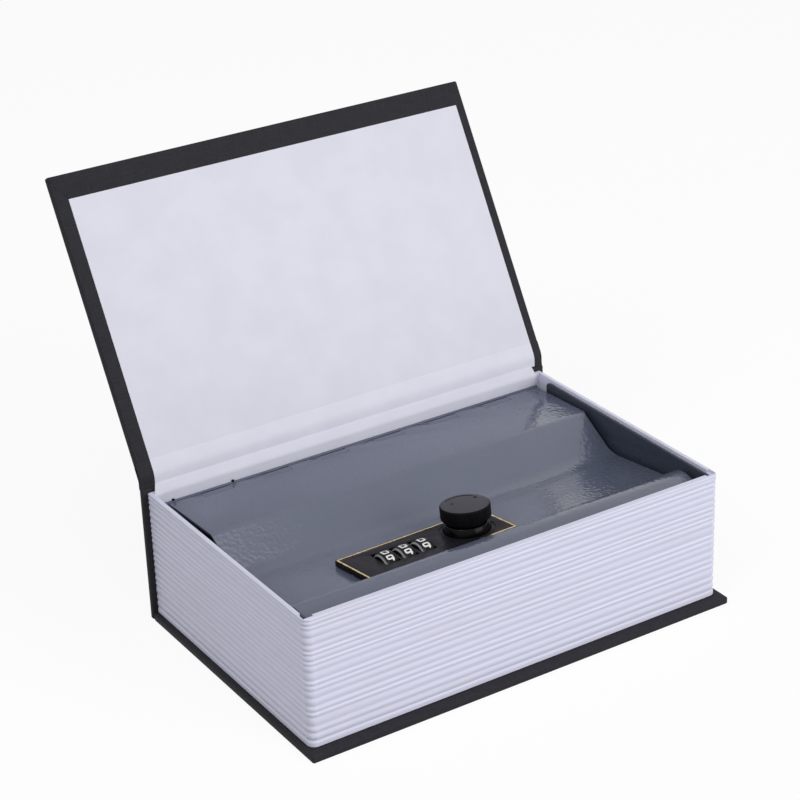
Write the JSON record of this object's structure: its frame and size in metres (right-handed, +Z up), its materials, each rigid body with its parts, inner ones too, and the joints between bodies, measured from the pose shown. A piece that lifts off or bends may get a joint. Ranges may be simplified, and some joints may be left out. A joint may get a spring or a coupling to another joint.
{
  "type": "book diversion safe",
  "caption": "Small steel cash box with a combination-locked lid, hidden inside a hardback book case with a moulded page-edge frame and a cover that opens.",
  "frame": {"origin": "middle of the shut book's footprint, on the underside of the back board", "axes": "+X along the book's length, the left end is -X; -Y towards the fore edge, which is the front; +Y towards the spine; +Z up"},
  "size_m": [0.18, 0.1759, 0.1585],
  "materials": {
    "book_cloth": "matte",
    "endpaper": "matte",
    "page_plastic": "satin",
    "box_steel": "satin",
    "lid_steel": "satin",
    "plated_steel": "satin",
    "lock_plastic": "satin",
    "gold_foil": "polished",
    "lock_brass": "satin",
    "wheel_plastic": "gloss",
    "knob_plastic": "satin"
  },
  "bodies": {
    "base": {"back_board": "book_cloth", "spine_board": "book_cloth", "front_joint_cloth": "book_cloth", "joint_endpaper": "endpaper", "rear_endpaper": "endpaper", "page_frame": "page_plastic", "box_tray": "box_steel", "box_end_left": "box_steel", "box_end_right": "box_steel", "strike_bracket": "plated_steel", "box_hinge_leaf": "lid_steel", "hinge_pin": "plated_steel"},
    "cover": {"front_board": "book_cloth", "front_paste_down": "endpaper"},
    "lid": {"lid": "lid_steel", "lock_plate": "lock_plastic", "plate_border": "gold_foil", "lock_housing": "lock_plastic", "housing_cover": "plated_steel", "wheel_axle": "plated_steel", "detent_spring": "plated_steel", "plate_screw_left": "plated_steel", "plate_screw_right": "plated_steel", "cover_screw_left": "plated_steel", "cover_screw_right": "plated_steel", "knob_collar": "wheel_plastic"},
    "knob": {"knob": "knob_plastic", "spindle": "plated_steel", "latch_cam": "plated_steel", "cam_screw": "plated_steel"},
    "wheel_1": {"number_wheel_1": "wheel_plastic"},
    "wheel_2": {"number_wheel_2": "wheel_plastic"},
    "wheel_3": {"number_wheel_3": "wheel_plastic"},
    "locking_bar": {"locking_bar": "lock_brass"},
    "reset_lever": {"reset_lever": "lock_brass"}
  },
  "joints": [
    {"name": "cover_hinge", "type": "hinge", "parent": "base", "child": "cover", "pos_m": [0, 0.0581, 0.05565], "axis": [-1, 0, 0], "range_deg": [-117.8, 60.3], "deforming": ["front_joint_cloth", "joint_endpaper"]},
    {"name": "lid_hinge", "type": "hinge", "parent": "base", "child": "lid", "pos_m": [0, 0.05085, 0.0465], "axis": [-1, 0, 0], "range_deg": [-2.7, 93.3]},
    {"name": "knob_turn", "type": "hinge", "parent": "lid", "child": "knob", "pos_m": [-0.0013, -0.02263, 0.04497], "axis": [0, 0.1227, 0.9924], "range_deg": [-90, 0]},
    {"name": "wheel_1_turn", "type": "hinge", "parent": "lid", "child": "wheel_1", "pos_m": [-0.0362, -0.02316, 0.04071], "axis": [1, 0, 0], "continuous": true},
    {"name": "wheel_2_turn", "type": "hinge", "parent": "lid", "child": "wheel_2", "pos_m": [-0.0286, -0.02316, 0.04071], "axis": [1, 0, 0], "continuous": true},
    {"name": "wheel_3_turn", "type": "hinge", "parent": "lid", "child": "wheel_3", "pos_m": [-0.021, -0.02316, 0.04071], "axis": [1, 0, 0], "continuous": true},
    {"name": "locking_bar_slide", "type": "slide", "parent": "lid", "child": "locking_bar", "axis": [1, 0, 0], "range_m": [0, 0.0015]},
    {"name": "reset_slide", "type": "slide", "parent": "lid", "child": "reset_lever", "axis": [1, 0, 0], "range_m": [0, 0.003]}
  ],
  "couplings": [
    {"joint": "locking_bar_slide", "follows": "knob_turn", "m_per_rad": -0.00095}
  ]
}
